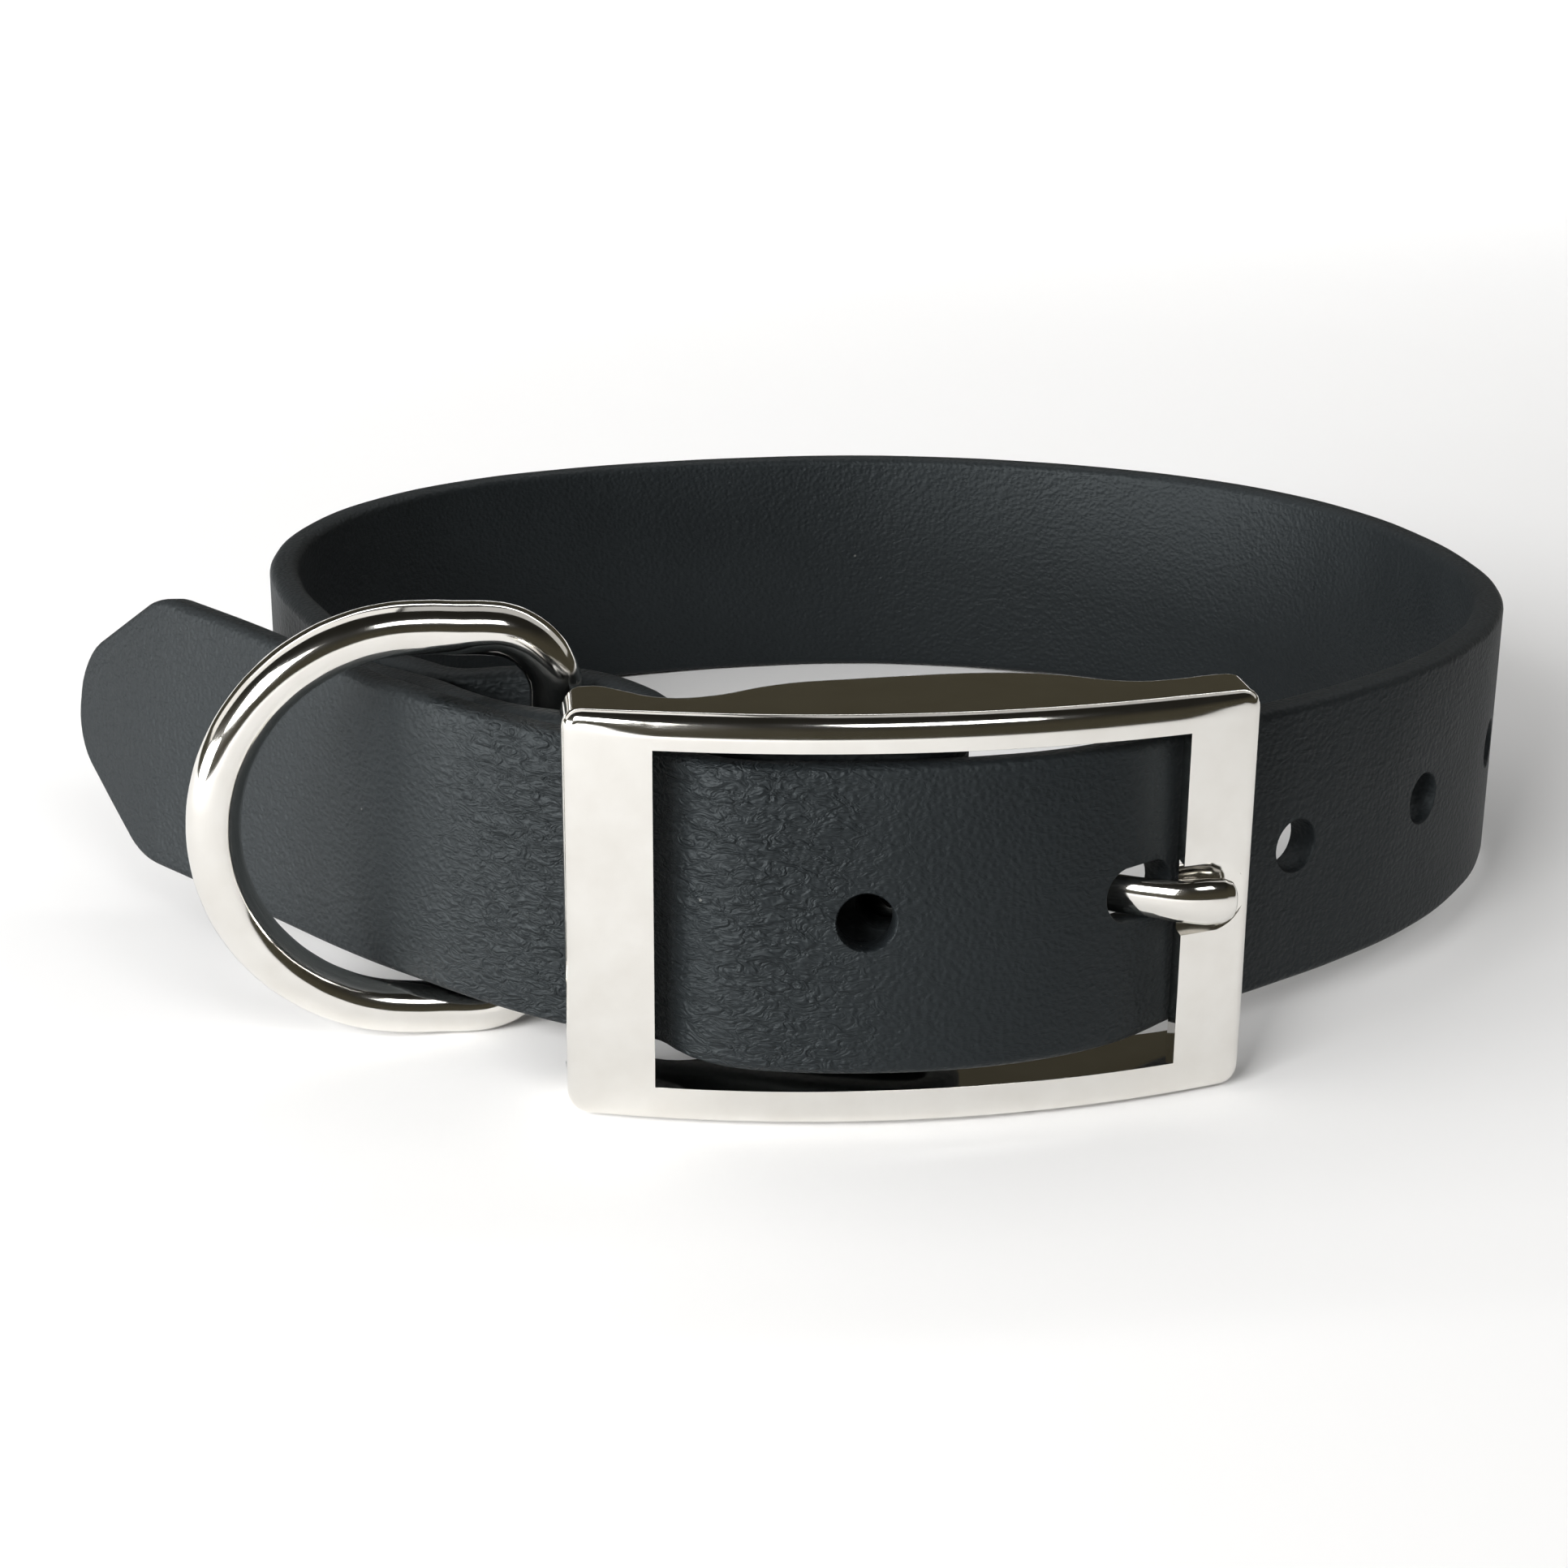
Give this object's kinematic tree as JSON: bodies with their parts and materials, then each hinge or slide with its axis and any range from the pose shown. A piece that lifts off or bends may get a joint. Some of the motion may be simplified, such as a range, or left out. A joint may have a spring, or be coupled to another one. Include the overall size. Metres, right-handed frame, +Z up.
{
  "type": "dog collar",
  "caption": "Flat coated-strap dog collar, buckled into a loop, with a bowed metal frame buckle, a tongue, a wire D-ring held in the folded end and a pointed free end.",
  "frame": {"origin": "middle of the collar's footprint, on the floor it lies on", "axes": "+X along the buckle's length, -Y out of the buckle's front, +Z up from the floor"},
  "size_m": [0.1378, 0.1198, 0.0383],
  "materials": {
    "coated_strap": "fine soft-sheen grain",
    "bright_nickel": "polished plating"
  },
  "bodies": {
    "collar": {"strap": "coated_strap", "buckle_frame": "bright_nickel", "buckle_tongue": "bright_nickel", "rivet_beyond_ring": "bright_nickel", "rivet_near_buckle": "bright_nickel"},
    "ring": {"d_ring": "bright_nickel"}
  },
  "joints": [
    {"name": "ring_swing", "type": "hinge", "parent": "collar", "child": "ring", "pos_m": [-0.02495, -0.03464, 0.01849], "axis": [0.0693, 0.0577, 0.9959], "range_deg": [-10, 72]}
  ]
}
